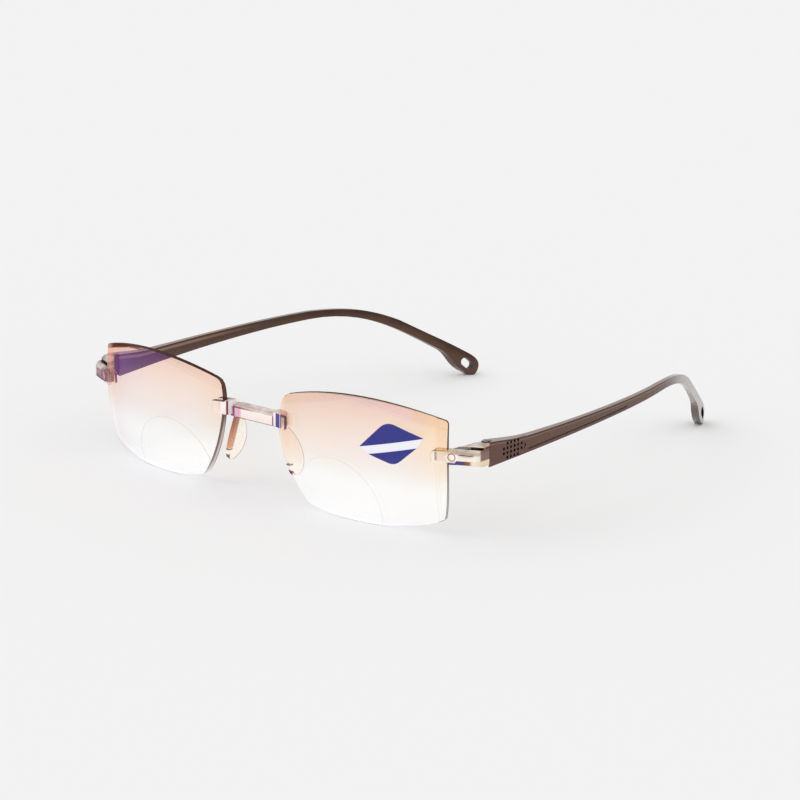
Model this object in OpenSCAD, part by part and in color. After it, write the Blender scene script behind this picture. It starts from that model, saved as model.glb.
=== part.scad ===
// Rimless reading glasses: two wrapped lenses held by a clear bridge and two clear endpieces,
// with slim temples that fold on screwed hinges.
// Everything is designed as worn, with level temples, and then stood on its lenses and temple tips.

/* [Lenses] */
// Radius of the front surface of a lens
lens_curve_r = 75.8; // [75:0.1:77]
// Radius of the flatter back surface of a lens, which gives it its reading power
lens_back_r = 90; // [89:0.5:92]
// Thickness of a lens at its middle
lens_t = 2.3; // [2.2:0.1:2.4]
// Distance from the middle of the glasses to the middle of a lens
lens_x = 36; // [35.9:0.1:36.1]
// Turn of each lens towards its own side, in degrees
lens_wrap = 6.9; // [6.7:0.1:7.1]
// Lean of each lens with its top forwards, in degrees
lens_tilt = 5.3; // [5.1:0.1:5.5]
// Radius of the near-vision area at the bottom of a lens
near_r = 14.2; // [13:0.1:14.5]
// How far the near-vision area stands out of the lens
near_step = 0.08; // [0.05:0.01:0.15]

/* [Front fittings] */
// Thickness of the clip tabs in front of and behind a lens
tab_t = 0.6; // [0.5:0.1:0.7]
// Half the length of the bridge bar
bar_half = 7.6; // [7.2:0.1:7.8]
// Slant of a nose pad away from the nose, in degrees
pad_slant = 17; // [14:1:19]
// Thickness of a nose pad
pad_t = 1.1; // [0.9:0.1:1.3]

/* [Hinges] */
// Distance from the middle of the glasses to a hinge axis
hinge_x = 67.6; // [67.5:0.05:67.65]
// Radius of a hinge knuckle
knuckle_r = 1.25; // [1.15:0.05:1.25]
// Radius of a hinge screw's shank
screw_r = 0.5; // [0.4:0.05:0.55]

/* [Temples] */
// Thickness of a temple at its hinge
temple_t_front = 3.4; // [3.2:0.1:3.5]
// Thickness of a temple along its slim part
temple_t = 1.4; // [1.3:0.1:1.6]
// Thickness of a temple at its tip
temple_t_tip = 2.6; // [2.4:0.1:2.8]
// Width of the cord slot in a temple tip
slot_w = 2.6; // [2.2:0.1:2.8]
// Length of the cord slot in a temple tip
slot_l = 5.2; // [4.6:0.1:5.4]

/* [Hidden] */
$fn = 64;
LEFT = 1;
RIGHT = -1;
fine_fn = 240;
eps = 0.01;

// Where the as-worn design stands: pitch that brings lenses and tips to one plane, then the shift
rest_pitch = 1.412;
rest_lift = 16.264;
depth_centre = 75.03;

// Lens: place, clearance in the clips, and outline as cubic curves of width and height
lens_y = -3.3;
lens_back_centre = [0.8, 1.5];
clip_gap = 0.05;
long_steps = 16;
corner_steps = 3;
LENS_OUTLINE = [
  [long_steps, [[-22.6, 14.4], [-9.4, 18.8], [7.3, 20.1], [25.6, 14.5]]],
  [corner_steps, [[25.6, 14.5], [26.1, 14.3], [26.3, 13.9], [26.3, 13.3]]],
  [long_steps, [[26.3, 13.3], [26.4, 4], [26.6, -6.3], [25, -12.4]]],
  [corner_steps, [[25, -12.4], [24.9, -12.9], [24.7, -13.1], [24.3, -13.3]]],
  [long_steps, [[24.3, -13.3], [15.7, -17.1], [-3.8, -17.3], [-14.5, -15.1]]],
  [corner_steps, [[-14.5, -15.1], [-15.5, -14.9], [-16.1, -14.8], [-16.6, -14.3]]],
  [long_steps, [[-16.6, -14.3], [-23.5, -6.7], [-26.3, 5], [-25, 11.3]]],
  [corner_steps, [[-25, 11.3], [-24.7, 12.9], [-24.1, 13.9], [-22.6, 14.4]]]
];
lens_nasal_u = -25.5;
lens_temporal_u = 26.4;
bevel_slope = tan(7);
// Bevels round the front edge: direction of each from the lens middle, and its distance
BEVELS = [[77.7, 17.3], [104.4, 17.35], [0, 23.7]];
near_centre = [-6.2, -13.4];

// Label film: centre and turn on the left lens, and outline of its right half
label_centre = [11.65, 7.75];
label_turn = 12.6;
label_gap = 0.03;
label_t = 0.12;
LABEL_HALF = [
  [5, [[0, 5], [0.9, 5], [1.6, 4.7], [2.4, 4.2]]],
  [1, [[2.4, 4.2], [4.6, 2.8], [6.8, 1.4], [9, 0]]],
  [1, [[9, 0], [8.3, -0.8], [7.6, -1.5], [6.9, -2.3]]],
  [1, [[6.9, -2.3], [5.4, -3.2], [3.8, -4.1], [2.3, -4.9]]],
  [5, [[2.3, -4.9], [1.5, -5.4], [0.8, -5.7], [0, -5.7]]]
];

// Bridge: the bar's front, back and heights, its neck, and the height of its clips
bar_y = [-1.5, 3.2];
bar_z = [4.5, 7.9];
bar_chamfer = 0.5;
neck_y = [-0.6, 2.8];
neck_half = 9.3;
nasal_tab_u = [-22.5, -22.3];
nasal_tab_v = [4.8, 8.6];
nasal_web_u = -27.6;

// Nose pad: top of its stem, stem sizes, and outline of depth and height along the slant
pad_top = [7.9, 0.9, 4.5];
stem_r = 0.8;
stem_length = 7;
tenon_length = 1.3;
tenon_gap = 0.02;
PAD_OUTLINE = [
  [1, [[2.2, -0.9], [1.3, -0.6], [0.2, -0.3], [-0.8, -0.3]]],
  [8, [[-0.8, -0.3], [-1, -5], [-1.2, -9.5], [-0.3, -12.5]]],
  [5, [[-0.3, -12.5], [0.2, -14], [1.5, -14.4], [2.7, -13.9]]],
  [14, [[2.7, -13.9], [6, -12.5], [7.3, -7], [2.2, -0.9]]]
];

// Endpiece: clip tabs on the lens, and the arm that turns back to the hinge
temporal_tab_v = [3.3, 6.9];
temporal_tab_u = [22.5, 22.6];
temporal_web_u = 29;
ARM_PLAN = [
  [61.6, 3.9], [64.4, 4.6], [67.6, 6.1], [69, 7.2], [69.4, 8.3],
  [69.4, 12.3], [65.8, 12.3], [65, 10.2], [61.2, 6.9]
];
arm_z = [3.2, 9];
arm_rise = 19;
arm_rise_start = [61, 7.1];
arm_front_turn = 27;
arm_top_slope = 33;
arm_top_start = 6.8;
arm_bottom_slope = 20;
arm_bottom_start = 3.9;
groove_z = [7.7, 8.25];
groove_depth = 4.6;
pin_r = 0.9;
pin_u = 27;
pin_v = 5.1;

// Hinge: axis, knuckle heights, leaves, screw head
hinge_y = 13;
bottom_knuckle = [3.2, 4.5];
middle_knuckle = [4.6, 6.7];
top_knuckle = [6.8, 9];
leaf_t = 1.2;
block_leaf_length = 4.4;
tongue_leaf_length = 7.5;
swing_gap = 0.25;
screw_gap = 0.03;
screw_head_r = 1;
screw_head_h = 0.3;
driver_slot_w = 0.3;
driver_slot_depth = 0.22;

// Where the inner sides of the endpiece and temple are mitred, so the temple can swing in
endpiece_mitre = 132;
temple_mitre = 137;

// Temple: outer wall in plan, thickness along its depth, side profile, tip slot, dots and line
temple_start = 12.5;
plan_steps = 20;
side_steps = 12;
TEMPLE_PLAN = [
  [plan_steps, [[69.4, 11], [69.9, 38], [70.9, 72.5], [66.2, 95.4]]],
  [plan_steps, [[66.2, 95.4], [62.4, 113.8], [54.6, 130], [43.7, 157]]]
];
TEMPLE_THICKNESS = [
  [12, temple_t_front], [30, 2], [50, temple_t], [125, temple_t], [138, 1.8], [146, temple_t_tip]
];
TEMPLE_SIDE = [
  [6, [[11, 9.3], [17, 9], [22, 7.8], [30, 7.65]]],
  [5, [[30, 7.65], [50, 7.5], [70, 7.7], [96, 7.7]]],
  [side_steps, [[96, 7.7], [109.1, 7.1], [116.5, 6.3], [127.6, 1]]],
  [5, [[127.6, 1], [135.4, -3.5], [142.4, -7.4], [150.4, -12.4]]],
  [6, [[150.4, -12.4], [153.1, -14.1], [154.4, -15.6], [154, -17.6]]],
  [6, [[154, -17.6], [153.4, -19.9], [152.2, -20.7], [150.6, -19.4]]],
  [8, [[150.6, -19.4], [144.6, -16.1], [145.4, -13.4], [141.8, -10.7]]],
  [side_steps, [[141.8, -10.7], [127, -1.6], [116.5, 5.6], [96, 5.2]]],
  [6, [[96, 5.2], [66, 4.7], [40, 3.3], [11, 2.5]]],
  [1, [[11, 2.5], [11, 4], [11, 6], [11, 9.3]]]
];
slot_centre = [44.9, 150.5, -16];
slot_lean = -40;
slot_turn = 22;
slot_reach = 4;
dot_size = 0.8;
dot_depth = 0.35;
dot_pitch_y = 1.5;
dot_pitch_z = 1.27;
dots_start = [18.3, 3.6];
// Rows of dots from the bottom: first column and number of columns
DOT_ROWS = [[1, 4], [0, 6], [0, 6], [1, 4]];
// Arrow head that ends the two long rows
DOT_ARROW = [[0.1, -1.4], [1.1, -0.1], [0.2, 0.9], [0.5, -0.1]];
line_w = 0.35;
line_depth = 0.3;
LINE_SIDE = [[28.6, 3.85], [46, 4.6], [62, 5], [76, 5.5]];
WALL = concat(outline(TEMPLE_PLAN), [TEMPLE_PLAN[1][1][3]]);

function bezier(c, n) = [
  for (i = [0 : n - 1]) let (t = i / n, s = 1 - t)
    s * s * s * c[0] + 3 * s * s * t * c[1] + 3 * s * t * t * c[2] + t * t * t * c[3]
];
function outline(curves) = [for (c = curves) each bezier(c[1], c[0])];
// A right half outline from its top to its bottom, closed by its mirror image
function mirrored(half) = concat(half, [for (i = [len(half) - 2 : -1 : 1]) [-half[i][0], half[i][1]]]);
function unit(v) = v / norm(v);
// Inner wall point of the temple at step i, square to the outer wall
function inner_point(wall, i) =
  let (a = wall[max(i - 1, 0)], b = wall[min(i + 1, len(wall) - 1)], along = unit(b - a))
    wall[i] + lookup(wall[i][1], TEMPLE_THICKNESS) * [-along[1], along[0]];

module at_rest() translate([0, -depth_centre, rest_lift]) rotate([rest_pitch, 0, 0]) children();
module on_side(side) at_rest() mirror([side < 0 ? 1 : 0, 0, 0]) children();
module in_lens() translate([lens_x, lens_y, 0]) rotate([lens_tilt, 0, lens_wrap]) children();
// A flat outline of width and height, pushed through the whole depth of a lens
module through(depth = 26) translate([0, depth - 3, 0]) rotate([90, 0, 0])
  linear_extrude(depth) children();
module span_box(x, y, z)
  translate([x[0], y[0], z[0]]) cube([x[1] - x[0], y[1] - y[0], z[1] - z[0]]);
// Balls of the front and back lens surfaces, both moved outwards from the lens by grow
module front_ball(grow) translate([0, lens_curve_r, 0]) sphere(lens_curve_r + grow, $fn = fine_fn);
module back_ball(grow) translate([lens_back_centre[0], lens_t + lens_back_r, lens_back_centre[1]])
  sphere(lens_back_r - grow, $fn = fine_fn);
module lens_body(grow) difference() {
  front_ball(grow);
  back_ball(grow);
}
module front_skin(inner, outer) difference() {
  front_ball(outer);
  front_ball(inner);
}
module back_skin(inner, outer) difference() {
  back_ball(inner);
  back_ball(outer);
}

module bevel_cut(direction, reach) {
  length = 9;
  r0 = sqrt(lens_curve_r * lens_curve_r - reach * reach);
  r1 = r0 - length * (reach / r0 + bevel_slope);
  translate([0, lens_curve_r, 0]) rotate([0, 90 - direction, 0]) translate([0, 0, reach])
    difference() {
      cylinder(h = length, r = lens_curve_r + 5, $fn = fine_fn);
      translate([0, 0, -eps]) cylinder(h = length + 2 * eps, r1 = r0 + eps * 0.3, r2 = r1, $fn = fine_fn);
    }
}

module lens(side) color([0.93, 0.76, 0.68, 0.5]) on_side(side) in_lens() difference() {
  intersection() {
    union() {
      lens_body(0);
      intersection() {
        difference() {
          front_ball(near_step);
          back_ball(0);
        }
        through() translate(near_centre) circle(near_r, $fn = fine_fn);
      }
    }
    through() polygon(outline(LENS_OUTLINE));
  }
  for (b = BEVELS) bevel_cut(b[0], b[1]);
  through() translate([pin_u, pin_v]) circle(pin_r + tenon_gap);
}

module label_film() color([0.19, 0.22, 0.56]) on_side(LEFT) in_lens() intersection() {
  front_skin(label_gap, label_gap + label_t);
  through(12) translate(label_centre) rotate(label_turn)
    polygon(mirrored(concat(outline(LABEL_HALF), [LABEL_HALF[4][1][3]])));
}

// Rectangle of width and height with rounded corners at one end
module tab_shape(u, v, r = 0.7) {
  tip = u[0] < u[1] ? u[0] + r : u[0] - r;
  polygon([[tip, v[0]], [u[1], v[0]], [u[1], v[1]], [tip, v[1]]]);
  translate([min(u[0], tip), v[0] + r]) square([r, v[1] - v[0] - 2 * r]);
  for (z = [v[0] + r, v[1] - r]) translate([tip, z]) circle(r, $fn = 32);
}

// U-shaped clip: a front tab and a back tab joined by a web past the lens edge
module clip(tab_u, web_u, edge_u, v) {
  intersection() {
    front_skin(clip_gap, clip_gap + tab_t);
    through() tab_shape([tab_u[0], web_u], v);
  }
  intersection() {
    back_skin(clip_gap, clip_gap + tab_t);
    through() tab_shape([tab_u[1], web_u], v);
  }
  intersection() {
    lens_body(clip_gap + tab_t);
    through() translate([min(edge_u, web_u), v[0]]) square([abs(web_u - edge_u), v[1] - v[0]]);
  }
}

module bar_profile() polygon([
  [bar_y[0] + bar_chamfer, bar_z[0]], [bar_y[1] - bar_chamfer, bar_z[0]],
  [bar_y[1], bar_z[0] + bar_chamfer], [bar_y[1], bar_z[1] - bar_chamfer],
  [bar_y[1] - bar_chamfer, bar_z[1]], [bar_y[0] + bar_chamfer, bar_z[1]],
  [bar_y[0], bar_z[1] - bar_chamfer], [bar_y[0], bar_z[0] + bar_chamfer]
]);

module bridge() color([0.93, 0.86, 0.85]) at_rest() difference() {
  union() {
    translate([-bar_half, 0, 0]) rotate([90, 0, 90]) linear_extrude(2 * bar_half) bar_profile();
    span_box([-neck_half, neck_half], neck_y, [bar_z[0], bar_z[1] - 0.2]);
    for (side = [LEFT, RIGHT]) mirror([side < 0 ? 1 : 0, 0, 0]) in_lens()
      clip(nasal_tab_u, nasal_web_u, lens_nasal_u, nasal_tab_v);
  }
  for (side = [LEFT, RIGHT]) mirror([side < 0 ? 1 : 0, 0, 0]) {
    in_pad() translate([0, 0, -1]) cylinder(h = 1 + tenon_length + tenon_gap, r = stem_r + tenon_gap);
  }
}

module in_pad() translate(pad_top) rotate([0, -pad_slant, 0]) children();

module nose_pad(side) color([0.98, 0.88, 0.78]) on_side(side) in_pad() {
  translate([-pad_t / 2, 0, 0]) rotate([90, 0, 90]) linear_extrude(pad_t) polygon(outline(PAD_OUTLINE));
  translate([0, 0, -stem_length]) cylinder(h = stem_length + tenon_length, r = stem_r);
}

module hinge_axis() translate([hinge_x, hinge_y, 0]) children();
module knuckle(z, r = knuckle_r) hinge_axis() translate([0, 0, z[0]]) cylinder(h = z[1] - z[0], r = r);
leaf_x = [hinge_x - leaf_t / 2, hinge_x + leaf_t / 2];
block_leaf_y = [hinge_y - block_leaf_length, hinge_y];
block_leaf_z = [bottom_knuckle[0] + 0.6, top_knuckle[1] - 0.9];

// Plane cut across the front of the endpiece arm, at its own height and slope
module arm_plane(z, slope) translate([61.6, 3.3, z]) rotate([0, 0, arm_front_turn])
  rotate([slope, 0, 0]) translate([-3, -3, 0]) children();

module endpiece(side) color([0.88, 0.8, 0.74]) on_side(side) difference() {
  union() {
    in_lens() clip(temporal_tab_u, temporal_web_u, lens_temporal_u, temporal_tab_v);
    difference() {
      translate([0, 0, arm_z[0]]) linear_extrude(arm_z[1] - arm_z[0]) polygon(ARM_PLAN);
      in_lens() through() translate([15, -5]) square([lens_temporal_u - 15, 20]);
      arm_plane(arm_top_start, arm_top_slope) cube([16, 14, 8]);
      translate([arm_rise_start[0], 0, arm_rise_start[1]]) rotate([0, -arm_rise, 0]) translate([-5, 0, 0])
        cube([18, 16, 5]);
      arm_plane(arm_bottom_start, -arm_bottom_slope) translate([0, 0, -8]) cube([16, 14, 8]);
      arm_plane(groove_z[0], 0) cube([13, 3 + groove_depth, groove_z[1] - groove_z[0]]);
    }
  }
  knuckle([0, 12], knuckle_r + swing_gap);
  hinge_axis() rotate([0, 0, endpiece_mitre]) cube([8, 8, 12]);
  span_box(leaf_x, [block_leaf_y[0], 13], block_leaf_z);
  in_lens() through() translate([pin_u, pin_v]) circle(pin_r);
}

module lens_pin(side) color([0.85, 0.75, 0.6]) on_side(side) in_lens() intersection() {
  lens_body(clip_gap + tab_t);
  through() translate([pin_u, pin_v]) circle(pin_r);
}

module hinge_block(side) color([0.25, 0.18, 0.15]) on_side(side) difference() {
  union() {
    knuckle(bottom_knuckle);
    knuckle(top_knuckle);
    span_box(leaf_x, block_leaf_y, block_leaf_z);
  }
  knuckle([bottom_knuckle[1], top_knuckle[0]], knuckle_r + swing_gap);
  knuckle([0, 12], screw_r + screw_gap);
}

module hinge_tongue(side) color([0.25, 0.18, 0.15]) on_side(side) difference() {
  union() {
    knuckle(middle_knuckle);
    span_box(leaf_x, [hinge_y, hinge_y + tongue_leaf_length], middle_knuckle);
  }
  knuckle([0, 12], screw_r + screw_gap);
}

module hinge_screw(side) color([0.55, 0.5, 0.45]) on_side(side) difference() {
  union() {
    knuckle([bottom_knuckle[0] - 0.1, top_knuckle[1]], screw_r);
    knuckle([top_knuckle[1], top_knuckle[1] + screw_head_h], screw_head_r);
  }
  hinge_axis() translate([-2, -driver_slot_w / 2, top_knuckle[1] + screw_head_h - driver_slot_depth])
    cube([4, driver_slot_w, 1]);
}

// Band between two walls in plan: depth is measured inwards from the outer wall
module temple_band() polygon(concat(WALL, [for (i = [len(WALL) - 1 : -1 : 0]) inner_point(WALL, i)]));

// Shape of depth and height, pushed across the whole width of a temple
module across() translate([35, 0, 0]) rotate([90, 0, 90]) linear_extrude(45) children();

// Thin layer at the outer wall, where the dots and the line are cut
module outer_layer(depth) translate([0, 0, -2]) linear_extrude(12)
  polygon(concat([for (p = WALL) p + [2, 0]], [for (i = [len(WALL) - 1 : -1 : 0]) WALL[i] - [depth, 0]]));

module dots() translate(dots_start) {
  for (row = [0 : len(DOT_ROWS) - 1]) for (i = [0 : DOT_ROWS[row][1] - 1])
    translate([(DOT_ROWS[row][0] + i) * dot_pitch_y, row * dot_pitch_z]) square(dot_size, center = true);
  translate([5.6 * dot_pitch_y, 1.5 * dot_pitch_z]) polygon(DOT_ARROW);
}

module line_band() {
  low = concat(bezier(LINE_SIDE, 10), [LINE_SIDE[3]]);
  polygon(concat(low, [for (i = [len(low) - 1 : -1 : 0]) low[i] + [0, line_w]]));
}

module temple(side) color([0.365, 0.3, 0.27]) on_side(side) difference() {
  intersection() {
    translate([0, 0, -25]) linear_extrude(40) temple_band();
    across() polygon(outline(TEMPLE_SIDE));
  }
  span_box([60, 75], [5, temple_start], [0, 10]);
  knuckle([0, 12], knuckle_r + swing_gap);
  hinge_axis() rotate([0, 0, temple_mitre]) cube([8, 8, 12]);
  span_box(leaf_x, [hinge_y, hinge_y + tongue_leaf_length], middle_knuckle);
  intersection() {
    outer_layer(dot_depth);
    across() dots();
  }
  intersection() {
    outer_layer(line_depth);
    across() line_band();
  }
  translate(slot_centre) rotate([slot_lean, 0, slot_turn]) {
    for (end = [-1, 1]) translate([0, end * (slot_l - slot_w) / 2, 0]) rotate([0, 90, 0])
      cylinder(h = 2 * slot_reach, r = slot_w / 2, center = true);
    cube([2 * slot_reach, slot_l - slot_w, slot_w], center = true);
  }
}

lens(LEFT);  // lens_left
lens(RIGHT);  // lens_right
label_film();
bridge();
nose_pad(LEFT);  // nose_pad_left
nose_pad(RIGHT);  // nose_pad_right
endpiece(LEFT);  // endpiece_left
endpiece(RIGHT);  // endpiece_right
lens_pin(LEFT);  // lens_pin_left
lens_pin(RIGHT);  // lens_pin_right
hinge_block(LEFT);  // hinge_block_left
hinge_block(RIGHT);  // hinge_block_right
hinge_screw(LEFT);  // hinge_screw_left
hinge_screw(RIGHT);  // hinge_screw_right
hinge_tongue(LEFT);  // hinge_tongue_left
hinge_tongue(RIGHT);  // hinge_tongue_right
temple(LEFT);  // temple_left
temple(RIGHT);  // temple_right
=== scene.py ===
# Looks of the rimless glasses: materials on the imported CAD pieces, softened edges,
# a pale floor, soft light and the camera. No piece is moved or reshaped here.
import bpy
from math import cos, radians, sin
from mathutils import Matrix, Vector

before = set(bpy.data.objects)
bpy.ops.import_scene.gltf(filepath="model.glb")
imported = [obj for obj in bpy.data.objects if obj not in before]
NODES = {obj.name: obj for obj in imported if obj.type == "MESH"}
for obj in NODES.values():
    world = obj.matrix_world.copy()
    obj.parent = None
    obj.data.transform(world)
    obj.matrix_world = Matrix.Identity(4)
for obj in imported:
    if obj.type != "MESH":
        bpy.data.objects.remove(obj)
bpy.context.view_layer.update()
SIDES = (("left", 1), ("right", -1))

# The as-worn ("level") design frame of the CAD model, in millimetres: x to the wearer's left,
# y backwards, z up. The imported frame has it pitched, lifted and moved back.
PITCH, LIFT, DEPTH = radians(1.412), 16.264, 75.03
TURN = Matrix.Rotation(PITCH, 3, "X")

# Lens frame in the level frame: u from the nose to the temple, depth backwards, v up
LENS_AT, LENS_TILT, LENS_WRAP = (36.0, -3.3, 0.0), radians(5.3), radians(6.9)
LENS_TURN = Matrix.Rotation(LENS_WRAP, 3, "Z") @ Matrix.Rotation(LENS_TILT, 3, "X")
LENS_R = 75.8

# Height of every fine relief, in metres
RELIEF = 0.0001


def packed(p):
    """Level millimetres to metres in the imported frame."""
    return (TURN @ Vector(p) + Vector((0, -DEPTH, LIFT))) / 1000


def srgb(*c):
    """A colour from its 0 to 255 screen values."""
    return tuple(v / 255 / 12.92 if v <= 10 else ((v / 255 + 0.055) / 1.055) ** 2.4 for v in c)


# ---------- node graphs ----------
class Graph:
    """A node material being built. Values are sockets or plain numbers, lengths millimetres."""

    def __init__(self, name):
        self.material = bpy.data.materials.new(name)
        self.material.use_nodes = True
        self.tree = self.material.node_tree
        self.tree.nodes.clear()
        self.out = self.tree.nodes.new("ShaderNodeOutputMaterial")
        self.coords = self.add("ShaderNodeTexCoord")
        self.p = self.coords.outputs["Object"]

    def put(self, socket, value):
        if isinstance(value, bpy.types.NodeSocket):
            self.tree.links.new(value, socket)
        elif hasattr(socket.default_value, "__len__") and len(socket.default_value) == 4:
            socket.default_value = (*value[:3], 1.0)
        else:
            socket.default_value = value

    def add(self, kind, ins=None, **props):
        node = self.tree.nodes.new(kind)
        for key, value in props.items():
            setattr(node, key, value)
        for key, value in (ins or {}).items():
            self.put(node.inputs[key], value)
        return node

    # numbers
    def math(self, op, *args):
        return self.add("ShaderNodeMath", dict(enumerate(args)), operation=op).outputs[0]

    def chain(self, op, values):
        total = values[0]
        for value in values[1:]:
            total = self.math(op, total, value)
        return total

    def plus(self, *values):
        return self.chain("ADD", values)

    def minus(self, *values):
        return self.chain("SUBTRACT", values)

    def times(self, *values):
        return self.chain("MULTIPLY", values)

    def most(self, *values):
        return self.chain("MAXIMUM", values)

    def size(self, x):
        return self.math("ABSOLUTE", x)

    def reach(self, a, b):
        """Distance from the place where a and b are 0."""
        squares = self.math("POWER", a, 2.0), self.math("POWER", b, 2.0)
        return self.math("SQRT", self.plus(*squares))

    def turned(self, a, b, angle):
        """The first axis of the a, b plane after a turn by the angle."""
        return self.plus(self.times(a, cos(angle)), self.times(b, sin(angle)))

    def step(self, x, lo, hi, a=0.0, b=1.0):
        """Smooth step of x from a at lo to b at hi, where lo may be above hi."""
        ins = {0: x, 1: lo, 2: hi, 3: a, 4: b}
        return self.add("ShaderNodeMapRange", ins, interpolation_type="SMOOTHSTEP").outputs[0]

    def band(self, x, lo, hi, soft):
        """1 between lo and hi."""
        up = self.step(x, lo - soft, lo + soft)
        return self.times(up, self.step(x, hi - soft, hi + soft, 1.0, 0.0))

    def line(self, x, width):
        """1 where x is near 0."""
        return self.step(self.size(x), width * 0.4, width, 1.0, 0.0)

    def profile(self, x, points):
        """Height along x, on straight lines through (x, height) points."""
        heights = [height for _, height in points]
        low, span = min(heights), max(heights) - min(heights)
        greys = [(x0, ((height - low) / span,) * 3) for x0, height in points]
        grey = self.ramp(x, points[0][0], points[-1][0], greys)
        share = self.add("ShaderNodeSeparateColor", {0: grey}).outputs[0]
        return self.plus(self.times(share, span), low)

    def noise(self, scale, detail=3.0, vector=None):
        ins = {"Vector": vector or self.p, "Scale": scale, "Detail": detail}
        return self.add("ShaderNodeTexNoise", ins).outputs["Fac"]

    def drawn_out(self, scale, detail, stretch):
        """Noise drawn out along the axes where the stretch is small."""
        vector = self.add("ShaderNodeMapping", {0: self.p, "Scale": stretch}).outputs[0]
        return self.noise(scale, detail, vector)

    # places and directions
    def dot(self, vector, axis):
        ins = {0: vector, 1: tuple(axis)}
        return self.add("ShaderNodeVectorMath", ins, operation="DOT_PRODUCT").outputs["Value"]

    def level(self, origin=(0, 0, 0), rotation=Matrix.Identity(3), side=1):
        """Three sockets along the axes of a frame set in the level frame, mirrored on side -1."""
        axes = [TURN @ (rotation @ Vector(a)) for a in ((1, 0, 0), (0, 1, 0), (0, 0, 1))]
        centre = packed(origin)
        if side < 0:
            axes = [Vector((-a.x, a.y, a.z)) for a in axes]
            centre.x *= -1
        ins = {0: self.p, 1: tuple(centre)}
        offset = self.add("ShaderNodeVectorMath", ins, operation="SUBTRACT").outputs[0]
        return [self.dot(offset, a * 1000) for a in axes]

    def vector(self, x, y, z):
        return self.add("ShaderNodeCombineXYZ", {0: x, 1: y, 2: z}).outputs[0]

    def normal(self):
        return self.add("ShaderNodeSeparateXYZ", {0: self.coords.outputs["Normal"]}).outputs

    def facing(self, axis, side):
        """How far the true normal points along a level axis, mirrored on side -1."""
        a = TURN @ axis
        normal = self.add("ShaderNodeNewGeometry").outputs["True Normal"]
        return self.dot(normal, (a.x * side, a.y, a.z))

    # colours
    def ramp(self, x, lo, hi, stops):
        """Colour along x; stops are (value of x, colour)."""
        share = self.add("ShaderNodeMapRange", {0: x, 1: lo, 2: hi, 3: 0.0, 4: 1.0}).outputs[0]
        node = self.add("ShaderNodeValToRGB", {0: share})
        elements = node.color_ramp.elements
        while len(elements) < len(stops):
            elements.new(0.5)
        for element, (x0, colour) in zip(elements, sorted(stops)):
            element.position = (x0 - lo) / (hi - lo)
            element.color = (*colour, 1)
        return node.outputs[0]

    def mix(self, share, a, b, blend="MIX"):
        node = self.add("ShaderNodeMix", data_type="RGBA", blend_type=blend)
        self.put(node.inputs[0], share)
        self.put(node.inputs[6], a)
        self.put(node.inputs[7], b)
        return node.outputs[2]

    def paint(self, colour, *layers):
        """Lays colours over a colour; each layer is (where it lies, its colour)."""
        for where, shade in layers:
            colour = self.mix(where, colour, shade)
        return colour

    def stain(self, where, colour, filter_colour):
        """Multiplies the colour by a filter's where the mask is 1."""
        return self.mix(where, colour, self.mix(1.0, colour, filter_colour, "MULTIPLY"))

    # shaders
    def gloss(self, least):
        """Share of light a clear surface reflects, the same from both sides."""
        slant = self.add("ShaderNodeLayerWeight", {"Blend": 0.5}).outputs["Facing"]
        return self.plus(least, self.times(self.math("POWER", slant, 5.0), 1.0 - least))

    def clear(self, colour):
        return self.add("ShaderNodeBsdfTransparent", {"Color": colour}).outputs[0]

    def solid(self, grain, strength, ins):
        """A Principled surface with a fine relief."""
        relief = {"Height": grain, "Strength": strength, "Distance": RELIEF}
        normal = self.add("ShaderNodeBump", relief).outputs[0]
        return self.add("ShaderNodeBsdfPrincipled", {**ins, "Normal": normal}).outputs[0]

    def plastic(self, colour, roughness, alpha):
        """Coated clear plastic, see-through where alpha is low."""
        return self.solid(self.noise(1400, 2.0), 0.06,
                          {"Base Color": colour, "Roughness": roughness, "IOR": 1.5, "Alpha": alpha})

    def blend(self, share, a, b):
        node = self.add("ShaderNodeMixShader", {0: share})
        self.tree.links.new(a, node.inputs[1])
        self.tree.links.new(b, node.inputs[2])
        return node.outputs[0]

    def finish(self, shader):
        self.tree.links.new(shader, self.out.inputs[0])
        return self.material


def behind_front(g, u, depth, v):
    """Distance behind the lens front, which is a sphere."""
    squares = g.math("POWER", u, 2.0), g.math("POWER", v, 2.0)
    return g.minus(depth, g.times(g.plus(*squares), 0.5 / LENS_R))


# ---------- lenses ----------
# By height: tint let through by each surface, its coating's mirror colour, and the ground edge.
# The tint goes above 1 to make up for the light that the mirror layer takes.
LENS_LOW, LENS_HIGH = -17, 18
TINT = [(18, (1.02, 0.88, 0.74)), (15, (1.067, 0.935, 0.786)), (12, (1.082, 0.970, 0.826)),
        (9, (1.084, 0.997, 0.875)), (6, (1.077, 1.007, 0.912)), (3, (1.066, 1.014, 0.947)),
        (0, (1.060, 1.027, 0.983)), (-3, (1.064, 1.060, 1.038)), (-6, (1.080, 1.086, 1.080)),
        (-17, (1.088, 1.095, 1.100))]
COAT = [(18, (0.33, 0.18, 0.95)), (10, (0.36, 0.22, 0.93)), (3, (0.52, 0.44, 0.88)),
        (-6, (0.80, 0.80, 0.86)), (-17, (0.90, 0.90, 0.90))]
RIM = [(18, srgb(54, 24, 17)), (9, srgb(70, 42, 32)), (2, srgb(104, 82, 76)),
       (-8, srgb(128, 108, 108)), (-17, srgb(150, 134, 136))]

# The three bevels round the front (direction in degrees, distance), and the near-vision area
BEVELS = ((77.7, 17.3), (104.4, 17.35), (0, 23.7))
NEAR_U, NEAR_V, NEAR_R = -6.2, -13.4, 14.2
MARK_WIDTH = 0.2

# The lens's upper edge (u, v)
LENS_TOP = [(-23, 14.3), (-12, 17.0), (-0.4, 18.2), (12.2, 17.5), (20.2, 16.0), (25.6, 14.5)]


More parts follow.
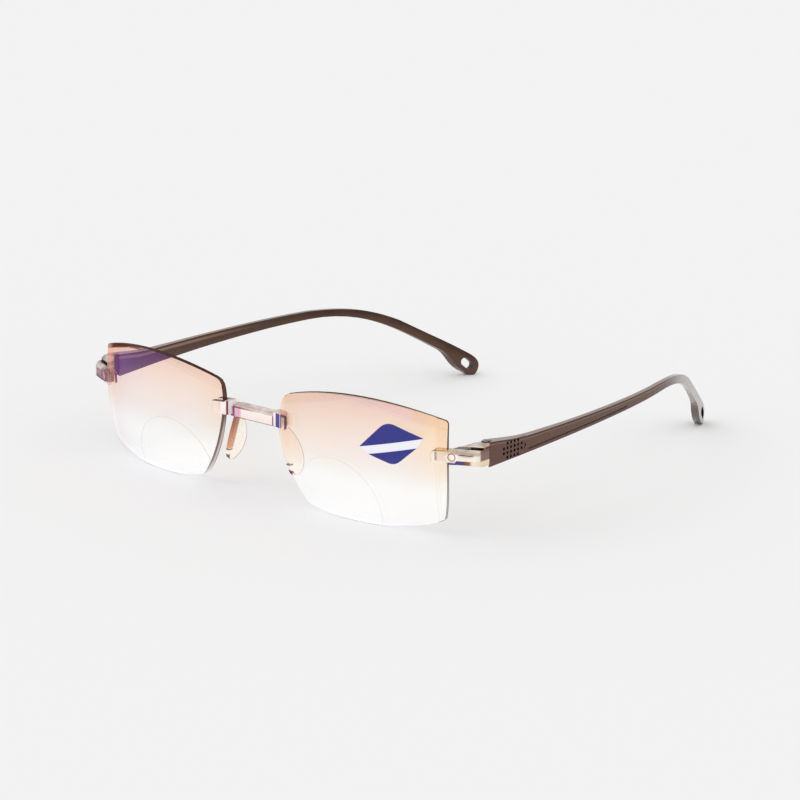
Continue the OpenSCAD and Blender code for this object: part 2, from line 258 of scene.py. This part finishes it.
def lens_marks(g, u, v, reach):
    """Thin lines round the bevels and the near-vision area, and the bevels themselves."""
    marks = g.line(g.minus(reach, NEAR_R), MARK_WIDTH)
    bevels = 0.0
    for direction, distance in BEVELS:
        along = g.turned(u, v, radians(direction))
        marks = g.most(marks, g.line(g.minus(along, distance), MARK_WIDTH))
        bevels = g.most(bevels, g.step(along, distance, distance + MARK_WIDTH))
    return marks, bevels


def lens_tint(g, u, v, marks, bevels):
    """Peach above and clear below, warmer towards both ends and on the bevels."""
    cloud = g.step(g.noise(45, 1.0), 0.3, 0.7, -0.6, 0.6)
    tint = g.ramp(g.plus(v, cloud), LENS_LOW, LENS_HIGH, TINT)
    ends = g.times(g.step(g.size(g.plus(u, 1.5)), 12, 26, 0.0, 0.75), g.step(v, -9, 6))
    tint = g.stain(ends, tint, (0.995, 0.955, 0.885))
    tint = g.stain(g.times(bevels, g.step(v, -4, 8)), tint, (0.985, 0.955, 0.93))
    return g.stain(marks, tint, (0.45, 0.40, 0.38))


def painted_corner_shade(g, u, v):
    """A band of painted shade under the upper edge, wider towards the temple."""
    drop = g.minus(g.profile(u, LENS_TOP), v)
    edge = g.step(drop, g.step(u, 4, 24, 0.3, 1.1), g.step(u, 4, 24, 0.6, 1.4), 1.0, 0.0)
    return g.times(edge, g.step(u, 3, 8))


def lens_rim(g, side, u, v, behind, clear):
    """The ground edge: dark above and at one end, glassy elsewhere, with a thin line in front."""
    front_line = g.step(behind, 0.2, 0.5, 1.0, 0.0)
    upper = g.step(v, 12.5, 14.5)
    shade = g.ramp(v, LENS_LOW, LENS_HIGH, RIM)
    if side > 0:
        front_line = g.times(front_line, g.step(u, -14, -4))
        upper = g.times(upper, g.step(behind, 0.6, 0.9, 0.25, 1.0))
        end = g.times(g.step(u, 22, 24), g.step(v, -2, 8, 0.75, 1.0))
    else:
        lit = g.times(g.band(behind, 1.0, 1.9, 0.2), g.step(v, 6, -2))
        shade = g.mix(lit, shade, srgb(214, 204, 198))
        end = g.step(u, -21, -13, 0.95, 0.0)
    dark = g.most(upper, g.times(front_line, 0.4), end)
    ground = g.solid(g.noise(1500), 0.15,
                     {"Base Color": shade, "Roughness": 0.45, "Specular IOR Level": 0.05})
    return g.blend(dark, clear, ground)


def lens_material(side):
    g = Graph("coated_lens")
    u, depth, v = g.level(LENS_AT, LENS_TURN, side)
    behind = behind_front(g, u, depth, v)
    facing = g.facing(LENS_TURN @ Vector((0, 1, 0)), side)
    front = g.step(facing, -0.7, -0.5, 1.0, 0.0)
    wall = g.step(g.size(facing), 0.55, 0.75, 1.0, 0.0)
    reach = g.reach(g.minus(u, NEAR_U), g.minus(v, NEAR_V))

    marks, bevels = lens_marks(g, u, v, reach)
    tint = lens_tint(g, u, v, g.times(marks, front, 0.09), bevels)
    coat = g.ramp(v, LENS_LOW, LENS_HIGH, COAT)
    veil = g.plus(g.step(v, -10, 8, 0.02, 0.0),
                  g.times(front, g.step(reach, NEAR_R - 0.3, NEAR_R - 0.1, 1.0, 0.0), 0.04))
    # the milky veil's colour; on the far lens it also carries a painted peach highlight
    haze_and_highlight = (0.97, 0.97, 0.97)
    if side < 0:
        # the far lens has painted shade at its upper outer corner, which darkens its tint and mirror
        # colour, a painted mauve reflection in its mirror towards the temple, and a painted peach
        # highlight along its margin at the temple
        corner = painted_corner_shade(g, u, v)
        coat = g.paint(coat, (g.step(u, 14, 24, 0.0, 0.7), srgb(196, 84, 150)),
                       (corner, srgb(150, 84, 66)))
        tint = g.stain(g.times(corner, front), tint, (0.30, 0.20, 0.22))
        margin_highlight = g.times(g.step(u, 21.8, 25.8), g.step(v, 1, 6), front)
        veil = g.most(veil, g.times(margin_highlight, 0.5))
        haze_and_highlight = g.mix(margin_highlight, haze_and_highlight, srgb(240, 186, 156))

    clear = g.clear(tint)
    milk = g.add("ShaderNodeBsdfDiffuse", {"Color": haze_and_highlight}).outputs[0]
    smear = g.step(g.noise(900), 0.2, 0.8, 0.02, 0.05)
    mirror = g.add("ShaderNodeBsdfGlossy", {"Color": coat, "Roughness": smear}).outputs[0]
    shine = g.times(g.gloss(0.054), g.step(v, -4, 12, 1.0, 1.6), g.step(u, 16, 25, 1.0, 0.45))
    skin = g.blend(shine, g.blend(veil, clear, milk), mirror)
    return g.finish(g.blend(wall, skin, lens_rim(g, side, u, v, behind, clear)))


# Middle of the label on the left lens, its turn, and the pale band between its two halves
LABEL_U, LABEL_V, LABEL_TURN = 11.65, 7.75, radians(12.6)
LABEL_PALE = (-2.3, -0.1)


def label_material():
    g = Graph("label_film")
    u, _, v = g.level(LENS_AT, LENS_TURN)
    above = g.turned(g.minus(v, LABEL_V), g.minus(u, LABEL_U), -LABEL_TURN)
    blue = g.mix(g.noise(700), srgb(28, 32, 122), srgb(38, 42, 132))
    colour = g.paint(blue, (g.step(above, -5.5, -2.5, 0.2, 0.0), srgb(60, 70, 150)),
                     (g.band(above, *LABEL_PALE, 0.06), srgb(236, 235, 241)))
    return g.finish(g.solid(g.noise(1200, 2.0), 0.08, {"Base Color": colour, "Roughness": 0.28}))


# ---------- bridge ----------
def bridge_bar(g, x, z, nx, nz, ahead, side_on):
    """The bar between the lenses: pale faces, a mottled top in painted reflection colours, bands of
    painted reflection, faces turned to the wearer's left painted lighter as a painted highlight, and
    thin coloured folds.
    """
    out = g.size(x)
    face = g.mix(g.step(z, 4.3, 7.9), srgb(246, 228, 222), srgb(252, 240, 237))
    # a pink band of painted reflection on the wearer's right, and random mottling
    face = g.paint(face, (g.band(x, -7.0, -4.6, 0.5), srgb(228, 176, 196)),
                   (g.step(g.noise(260), 0.5, 0.8, 0.0, 0.3), srgb(226, 204, 198)))
    top = g.mix(g.step(g.noise(320), 0.35, 0.65), srgb(222, 204, 196), srgb(176, 152, 142))
    bar = g.step(out, 8.2, 7.6)
    fold = g.times(ahead, g.band(z, 7.3, 7.65, 0.06), g.step(x, 3, -7))
    # the mottled top, the violet lower band and the magenta bands are painted reflections; faces turned
    # to the wearer's left are painted lighter, a painted highlight
    return g.paint(face, (g.step(nz, 0.5, 0.8), top),
                   (g.times(g.step(z, 4.6, 4.85, 1.0, 0.0), bar), srgb(98, 78, 132)),
                   (g.times(side_on, g.band(out, 6.8, 7.6, 0.12)), srgb(140, 60, 116)),
                   (g.step(nx, 0.5, 0.8), srgb(255, 250, 248)),
                   (g.times(fold, bar), srgb(126, 58, 70)))


def bridge_material():
    g = Graph("clear_bridge")
    x, y, z = g.level()
    out = g.size(x)
    near = g.step(x, -0.5, 0.5)
    far = g.minus(1.0, near)
    nx, ny, nz = g.normal()
    ahead = g.step(ny, -0.6, -0.3, 1.0, 0.0)
    side_on = g.step(nz, 0.5, 0.8, 1.0, 0.25)
    colour = bridge_bar(g, x, z, nx, nz, ahead, side_on)

    # the clips, in the frames of both lenses at once
    place = g.vector(out, y, z)
    axes = [LENS_TURN @ Vector(a) for a in ((1, 0, 0), (0, 1, 0), (0, 0, 1))]
    u, depth, v = [g.minus(g.dot(place, a), a.dot(Vector(LENS_AT))) for a in axes]
    outermost = g.step(behind_front(g, u, depth, v), 0.1, 0.4, 1.0, 0.0)
    tab = g.step(out, g.step(near, 0.0, 1.0, 10.4, 11.0), g.step(near, 0.0, 1.0, 10.9, 11.2))
    outline = g.times(near, g.most(g.step(u, -23.15, -22.95), g.step(v, 8.05, 8.2)), tab, outermost)
    top_edge = g.times(far, g.step(v, 8.2, 8.4), g.step(out, 9.2, 9.4))
    # the blue-violet band on the left clip and the maroon band on the right clip are painted
    # reflections
    colour = g.paint(colour,
                     (g.times(near, ahead, outermost, g.band(x, 9.1, 10.9, 0.12)), srgb(62, 46, 146)),
                     (g.times(far, side_on, g.band(out, 8.2, 8.9, 0.12)), srgb(112, 34, 58)),
                     (tab, srgb(250, 234, 226)),
                     (outline, srgb(84, 30, 62)),
                     (top_edge, srgb(72, 44, 34)))
    body = g.step(tab, 0.0, 1.0, 0.95, g.step(near, 0.0, 1.0, 0.2, 0.12))
    alpha = g.most(body, g.times(g.most(outline, top_edge), 0.92))
    return g.finish(g.plastic(colour, 0.08, alpha))


# ---------- endpieces and their pins ----------
# The arm's turn and a place on its front, the round outline on it, and the hinge's groove, where shade
# is painted
ARM_TURN, ARM_AT = radians(27), (61.6, 3.3)
RING_AT, RING_R = (63.3, 4.15, 5.75), 0.95
GROOVE = (7.66, 8.29)

# Colours of an endpiece, painted refraction and reflection colours on one clear plastic: warm and clear
# on the left, mauve on the right
WARM = {"cream": srgb(253, 246, 236), "sand": srgb(206, 166, 130), "brown": srgb(112, 64, 42),
        "mauve": srgb(134, 98, 88), "light": srgb(214, 202, 190), "dark": srgb(160, 146, 132),
        "tab": srgb(254, 246, 238), "edge": srgb(84, 78, 72), "ledge": srgb(226, 208, 150)}
MAUVE = {"cream": srgb(162, 98, 118), "sand": srgb(128, 64, 92), "brown": srgb(84, 30, 56),
         "mauve": srgb(104, 46, 82), "light": srgb(196, 184, 180), "dark": srgb(140, 128, 124),
         "tab": srgb(206, 150, 162), "edge": srgb(120, 64, 92), "ledge": srgb(150, 96, 124)}
# the coloured lower band along the left arm's front, a painted reflection
LOWER_BAND = [(63.8, srgb(66, 52, 124)), (64.4, srgb(66, 44, 138)), (65.6, srgb(70, 44, 130)),
              (66.2, srgb(104, 44, 48)), (67.6, srgb(150, 92, 66)), (68.2, srgb(250, 232, 204))]


def arm_ring(g, x, y, z):
    """The thin round outline seen on the front of an endpiece arm."""
    along = g.turned(g.minus(x, RING_AT[0]), g.minus(y, RING_AT[1]), ARM_TURN)
    reach = g.reach(along, g.minus(z, RING_AT[2]))
    return g.line(g.minus(reach, RING_R), 0.17)


def arm_front(g, side, tone, place, inset, streak):
    """The arm's front: streaks, a sandy upper edge, a brown fold and a coloured lower band, all painted
    refraction and reflection colours, and the ring.
    """
    x, y, z = place
    # painted refraction: cream and sand streaks, a sand upper edge, a brown fold and a coloured lower
    # band
    front = g.mix(g.step(streak, 0.45, 0.62, 0.0, 0.7), tone["cream"], tone["sand"])
    fold = g.times(g.band(z, 6.35, 6.85, 0.15), g.band(x, 65.0, 68.4, 0.5))
    front = g.paint(front, (g.step(z, 6.2, 7.4), tone["sand"]), (fold, tone["brown"]))
    if side > 0:
        low = g.ramp(x, 60, 70, LOWER_BAND)
    else:
        low = g.mix(g.step(x, 63, 68), srgb(98, 34, 74), srgb(70, 24, 52))
        front = g.mix(g.band(z, 6.9, 7.5, 0.1), front, srgb(52, 22, 30))
    above_band = g.minus(z, g.step(x, 64.0, 64.6, 4.25, 4.95))
    ring = g.times(arm_ring(g, x, y, z), g.step(inset, 0.9, 0.6))
    return g.paint(front, (g.step(above_band, -0.12, 0.12, 1.0, 0.0), low), (ring, srgb(140, 58, 72)))


def endpiece_material(side):
    g = Graph("clear_endpiece")
    tone = WARM if side > 0 else MAUVE
    x, y, z = g.level(side=side)
    u, depth, v = g.level(LENS_AT, LENS_TURN, side)
    nz = g.normal()[2]
    inset = g.turned(g.minus(y, ARM_AT[1]), g.minus(x, ARM_AT[0]), -ARM_TURN)
    streak = g.drawn_out(420, 2.0, (0.35, 0.35, 1.6))

    # upward faces painted in streaked greys, a painted reflection
    slope = g.mix(g.step(streak, 0.4, 0.65), tone["light"], tone["dark"])
    # the arm's end wall painted in bands by height, painted refraction and reflection colours
    end_wall = g.times(g.step(x, 69.15, 69.35), g.step(y, 8.0, 9.0))
    end_colour = g.ramp(z, 3, 9.2, [(3.2, srgb(238, 214, 180)), (4.6, srgb(250, 226, 190)),
                                    (5.0, tone["mauve"]), (6.8, tone["mauve"]),
                                    (7.4, tone["brown"]), (8.6, tone["sand"])])
    level_face = g.step(g.size(nz), 0.93, 0.96)
    # painted shade in the hinge's groove
    groove_shade = g.times(g.band(z, *GROOVE, 0.03), g.most(level_face, g.step(inset, 2.6, 2.9)))

    # the clear tabs beside the lens, with a thin line at their ends and along their tops
    tab = g.step(u, 26.3, 27.2, 1.0, 0.0)
    back_tab = g.step(depth, 4.2, 4.5)
    edge = g.times(g.step(u, 22.85, 22.95, 1.0, 0.0), g.step(back_tab, 0.0, 1.0, 0.25, 1.0))
    ledge = g.times(g.step(v, 6.45, 6.6), tab)
    over_front = g.band(behind_front(g, u, depth, v), -0.5, 0.0, 0.08)
    crown = g.times(g.step(v, 6.78, 6.86), tab, over_front)
    colour = g.paint(arm_front(g, side, tone, (x, y, z), inset, streak),
                     (g.step(nz, 0.35, 0.7), slope),
                     (end_wall, end_colour),
                     (groove_shade, srgb(74, 40, 22)),
                     (tab, tone["tab"]),
                     (g.times(edge, tab), tone["edge"]),
                     (ledge, tone["ledge"]),
                     (crown, srgb(78, 56, 36)))
    lines = g.most(edge, crown, g.times(ledge, 0.7))
    alpha = g.most(g.step(tab, 0.0, 1.0, 0.95, 0.2), g.times(tab, lines))
    return g.finish(g.plastic(colour, 0.08, alpha))


# Middle of a pin in the lens frame
PIN_U, PIN_V = 27.0, 5.1


def pin_material(side):
    g = Graph("lens_pin")
    mottle = g.step(g.noise(500), 0.35, 0.65)
    if side > 0:
        colour = g.mix(mottle, srgb(252, 240, 228), srgb(238, 218, 200))
        colour = g.mix(arm_ring(g, *g.level()), colour, srgb(140, 58, 72))
    else:
        u, _, v = g.level(LENS_AT, LENS_TURN, side)
        radius = g.reach(g.minus(u, PIN_U), g.minus(v, PIN_V))
        # the right pin's mauve tones are painted reflection colours, as on its endpiece
        colour = g.mix(mottle, srgb(196, 146, 166), srgb(172, 118, 144))
        colour = g.mix(g.step(radius, 0.7, 0.85), colour, srgb(120, 60, 92))
    return g.finish(g.plastic(colour, 0.15, 0.9))


# ---------- nose pads ----------
# A place on a pad's flange and the flange's slant
PAD_TOP, PAD_SLANT = (7.9, 0.9, 4.5), radians(17)


def pad_material(side):
    g = Graph("clear_nose_pad")
    x, y, z = g.level(side=side)
    # clear colours above 1 let through more light than reaches the pad, a painted glow, strongest on
    # the right pad
    if side > 0:
        stem_strength, least_alpha, clear_glow = 0.2, 0.2, (1.02, 0.985, 0.96)
    else:
        stem_strength, least_alpha, clear_glow = 1.0, 0.3, (1.10, 1.08, 1.05)

    # the stem behind the flange, and dark specks at the pad's lower tip
    across = g.step(g.size(g.minus(y, 0.6)), 0.9, 1.1, 1.0, 0.0)
    stem = g.times(across, g.step(z, -6.0, -5.0), stem_strength)
    nose = g.plus(y, g.times(z, 0.38))
    tip = g.times(g.step(nose, -1.9, -1.6, 1.0, 0.0), g.band(z, -9.8, -7.2, 0.2))
    specks = g.times(tip, g.step(g.noise(900, 1.0), 0.40, 0.46))
    specks = g.most(specks, g.times(across, g.band(z, -5.9, -5.5, 0.12)))

    # a thin line round the flange's edge
    lean = Vector((cos(PAD_SLANT), 0, sin(PAD_SLANT)))
    edge_wall = g.step(g.size(g.facing(lean, side)), 0.35, 0.8, 1.0, 0.0)
    depth = g.minus(g.dot(g.vector(x, y, z), lean), lean.dot(Vector(PAD_TOP)))
    depth = g.times(depth, float(side))
    outline = g.times(edge_wall, g.step(depth, 0.2, 0.35), g.step(y, 1.5, 3.0), 0.8)

    flange = g.mix(g.step(g.noise(240), 0.3, 0.7), srgb(255, 250, 240), srgb(253, 236, 214))
    amber = g.mix(g.step(z, -5, 3), srgb(222, 152, 110), srgb(176, 98, 58))
    colour = g.paint(flange, (stem, amber), (specks, srgb(84, 24, 54)), (outline, srgb(104, 84, 80)))
    alpha = g.most(g.times(stem, 0.85), g.times(specks, 0.95), outline, least_alpha)
    return g.finish(g.blend(alpha, g.clear(clear_glow), g.plastic(colour, 0.12, 1.0)))


# ---------- temples ----------
# A temple's top along its length (y, z), and the cord slot in its tip
CREST = [(11, 9.3), (17, 8.8), (22, 8.0), (30, 7.65), (50, 7.57), (96, 7.7), (105, 7.25),
         (112, 6.4), (120, 4.4), (128, 1.0), (136, -3.0), (144, -8.8), (152, -13.2)]
SLOT_AT, SLOT_TURN, SLOT_LEAN = (44.9, 150.5, -16.0), radians(22), radians(-40)
SLOT_ALONG, SLOT_ACROSS = 2.8, 1.5

# The outer wall near the hinge (x at y = 0, and its slope), and the panel of dots in it
WALL_X, WALL_SLOPE = 69.36, 0.0105
DOTS_Y, DOTS_Z, DOTS_DEPTH = (17.7, 27.9), (3.1, 7.9), (-0.5, -0.07)

# The thin line in the outer side: its stretch, and its height, slope and curve at y = 50
LINE_Y, LINE_MIDDLE = (28.8, 76), 50.0
LINE_HEIGHT, LINE_SLOPE, LINE_CURVE = 4.78, 0.0335, 0.00022

# Inner side by distance below the top, near the hinge and further back: painted shade, with a painted
# highlight band near the hinge
INNER_FRONT = [(0.0, srgb(70, 42, 30)), (0.5, srgb(70, 42, 30)), (0.8, srgb(140, 108, 92)),
               (1.2, srgb(140, 108, 92)), (1.6, srgb(70, 44, 32)), (3.0, srgb(78, 53, 42)),
               (5.0, srgb(100, 72, 60))]
INNER_BACK = [(0.0, srgb(52, 25, 8)), (0.9, srgb(54, 28, 11)), (2.4, srgb(80, 53, 37)),
              (5.0, srgb(86, 60, 45))]


def recess_shade(g, x, y, z, out):
    """Painted shade in the sunk dots and the thin line in a temple's outer side."""
    wall = g.plus(g.times(y, WALL_SLOPE), WALL_X)
    sunk = g.band(g.minus(x, wall), *DOTS_DEPTH, 0.03)
    dots = g.times(sunk, g.band(y, *DOTS_Y, 0.1), g.band(z, *DOTS_Z, 0.05))
    along = g.minus(y, LINE_MIDDLE)
    path = g.plus(g.times(along, LINE_SLOPE), LINE_HEIGHT)
    path = g.minus(path, g.times(g.math("POWER", along, 2.0), LINE_CURVE))
    line = g.times(g.line(g.minus(z, path), 0.3), g.band(y, *LINE_Y, 0.3), g.step(out, 0.6, 0.9))
    return g.most(dots, g.times(line, 0.8))


def temple_material(side):
    g = Graph("brown_temple")
    x, y, z = g.level(side=side)
    nx, ny, nz = g.normal()
    out = g.times(nx, float(side))
    outside = g.times(g.step(out, 0.5, 0.8), g.step(y, 118, 100))
    inside = g.step(out, -0.4, -0.7)
    under = g.minus(g.profile(y, CREST), z)
    grain = g.noise(1600, 4.0)
    smear = g.drawn_out(110, 3.0, (3.0, 0.25, 3.0))

    # the inner side's painted shade and highlight bands, with random smears
    inner_shade_and_smear = g.mix(g.step(y, 40, 85), g.ramp(under, 0, 6, INNER_FRONT), g.ramp(under, 0, 6, INNER_BACK))
    inner_shade_and_smear = g.mix(g.step(smear, 0.3, 0.7, 0.0, 0.25), inner_shade_and_smear, srgb(98, 70, 56))
    # painted shade on the cord slot's walls
    slot_frame = Matrix.Rotation(SLOT_TURN, 3, "Z") @ Matrix.Rotation(SLOT_LEAN, 3, "X")
    _, along, across = g.level(SLOT_AT, slot_frame, side)
    slot_box = g.times(g.band(along, -SLOT_ALONG, SLOT_ALONG, 0.1),
                       g.band(across, -SLOT_ACROSS, SLOT_ACROSS, 0.1))
    slot_shade = g.times(slot_box, g.step(g.size(g.turned(out, ny, SLOT_TURN)), 0.3, 0.6, 1.0, 0.0))
    colour = g.mix(smear, srgb(86, 60, 47), srgb(101, 72, 58))
    # painted light: the top face is painted lighter as a painted highlight, the outside has a painted
    # highlight line below a painted shade line along its top edge, and the underside is painted darker
    # as painted shade
    colour = g.paint(colour, (g.step(y, 12, 62, 0.7, 0.0), srgb(94, 60, 49)),
                     (g.step(nz, 0.6, 0.9), srgb(134, 112, 100)),
                     (g.times(outside, g.band(under, 0.5, 0.85, 0.1)), srgb(122, 92, 78)),
                     (g.times(outside, g.band(under, 0.1, 0.42, 0.06)), srgb(44, 24, 17)),
                     (g.step(nz, -0.2, -0.6, 0.0, 0.5), srgb(60, 42, 34)),
                     (inside, inner_shade_and_smear),
                     # painted shade in the sunk dots, the thin line and the cord slot
                     (recess_shade(g, x, y, z, out), srgb(26, 18, 16)),
                     (slot_shade, srgb(34, 20, 12)))
    # a glossier outside where the temple bends down
    bend = g.step(y, 98, 118, 0.0, 1.0 if side > 0 else 0.3)
    coat = g.times(bend, g.minus(1.0, g.most(inside, slot_shade)))
    rough = g.step(grain, 0.3, 0.7, 0.24, 0.36)
    return g.finish(g.solid(grain, 0.1, {"Base Color": colour, "Roughness": rough,
                                         "Specular IOR Level": 0.3, "Coat Weight": coat,
                                         "Coat Roughness": 0.12}))


# ---------- metal ----------
def metal(name, base, roughness, metallic):
    """Brushed metal, a fifth lighter and darker along the strokes."""
    g = Graph(name)
    brushed = g.drawn_out(900, 3.0, (4.0, 4.0, 0.4))
    colour = g.mix(brushed, tuple(c * 0.8 for c in base), tuple(c * 1.2 for c in base))
    rough = g.step(brushed, 0.3, 0.7, roughness, roughness + 0.15)
    return g.finish(g.solid(brushed, 0.15, {"Base Color": colour, "Roughness": rough,
                                            "Metallic": metallic}))


# ---------- dressing the pieces ----------
def dress(name, material):
    slots = NODES[name].data.materials
    slots.clear()
    slots.append(material)


def rounded(name, width, segments=2, angle=28):
    """Softens a piece's sharp edges by a width in millimetres; the mesh itself is kept."""
    edges = NODES[name].modifiers.new("edges", "BEVEL")
    edges.width = width / 1000
    edges.segments = segments
    edges.limit_method = "ANGLE"
    edges.angle_limit = radians(angle)
    edges.harden_normals = False
    edges.use_clamp_overlap = True


hinge = metal("hinge_metal", srgb(58, 44, 40), 0.35, 0.5)
screw = metal("screw_steel", srgb(150, 140, 134), 0.25, 1.0)
dress("bridge", bridge_material())
rounded("bridge", 0.15)
dress("label_film", label_material())
for name, side in SIDES:
    dress("lens_" + name, lens_material(side))
    dress("endpiece_" + name, endpiece_material(side))
    rounded("endpiece_" + name, 0.14)
    dress("nose_pad_" + name, pad_material(side))
    rounded("nose_pad_" + name, 0.25, 3)
    dress("temple_" + name, temple_material(side))
    rounded("temple_" + name, 0.3, 3, 35)
    dress("lens_pin_" + name, pin_material(side))
    dress("hinge_block_" + name, hinge)
    dress("hinge_tongue_" + name, hinge)
    dress("hinge_screw_" + name, screw)

# ---------- floor ----------
FLOOR_REACH, FLOOR_GREY = 9, 0.865
corners = [(a * FLOOR_REACH, b * FLOOR_REACH, 0) for a, b in ((-1, -1), (1, -1), (1, 1), (-1, 1))]
mesh = bpy.data.meshes.new("floor")
mesh.from_pydata(corners, [], [(0, 1, 2, 3)])
floor = bpy.data.objects.new("floor", mesh)
bpy.context.collection.objects.link(floor)
g = Graph("pale_floor")
mesh.materials.append(g.finish(g.add("ShaderNodeBsdfDiffuse", {"Color": (FLOOR_GREY,) * 3}).outputs[0]))

# ---------- light ----------
SKY_STRENGTH, SUN_STRENGTH, SUN_SPREAD = 0.88, 0.8, radians(70)
SUN_FROM = Vector((-0.25, -1.0, 0.75))
world = bpy.data.worlds.new("studio")
world.use_nodes = True
sky = world.node_tree.nodes["Background"].inputs
sky["Color"].default_value = (1.0, 1.0, 1.0, 1)
sky["Strength"].default_value = SKY_STRENGTH
bpy.context.scene.world = world

sun = bpy.data.lights.new("softbox", "SUN")
sun.energy = SUN_STRENGTH
sun.angle = SUN_SPREAD
lamp = bpy.data.objects.new("softbox", sun)
lamp.rotation_euler = SUN_FROM.to_track_quat("Z", "Y").to_euler()
bpy.context.collection.objects.link(lamp)

# ---------- camera ----------
# Direction of view in the level frame, and the camera's place there in millimetres
AZIMUTH, ELEVATION, ROLL = radians(38.913), radians(15.292), radians(0.757)
CAMERA_AT, FOCAL, SENSOR = (454.17, -501.28, 195.54), 117, 36
back = Vector((sin(AZIMUTH) * cos(ELEVATION), -cos(AZIMUTH) * cos(ELEVATION), sin(ELEVATION)))
right = Vector((cos(AZIMUTH), sin(AZIMUTH), 0))
up = back.cross(right)
right, up = cos(ROLL) * right + sin(ROLL) * up, cos(ROLL) * up - sin(ROLL) * right
place = Matrix([TURN @ right, TURN @ up, TURN @ back]).transposed().to_4x4()
place.translation = packed(CAMERA_AT)

camera = bpy.data.objects.new("camera", bpy.data.cameras.new("camera"))
camera.matrix_world = place
camera.data.lens = FOCAL
camera.data.sensor_width = SENSOR
camera.data.clip_start = 0.01
camera.data.clip_end = 50
bpy.context.collection.objects.link(camera)
bpy.context.scene.camera = camera
bpy.context.scene.view_settings.view_transform = "Standard"
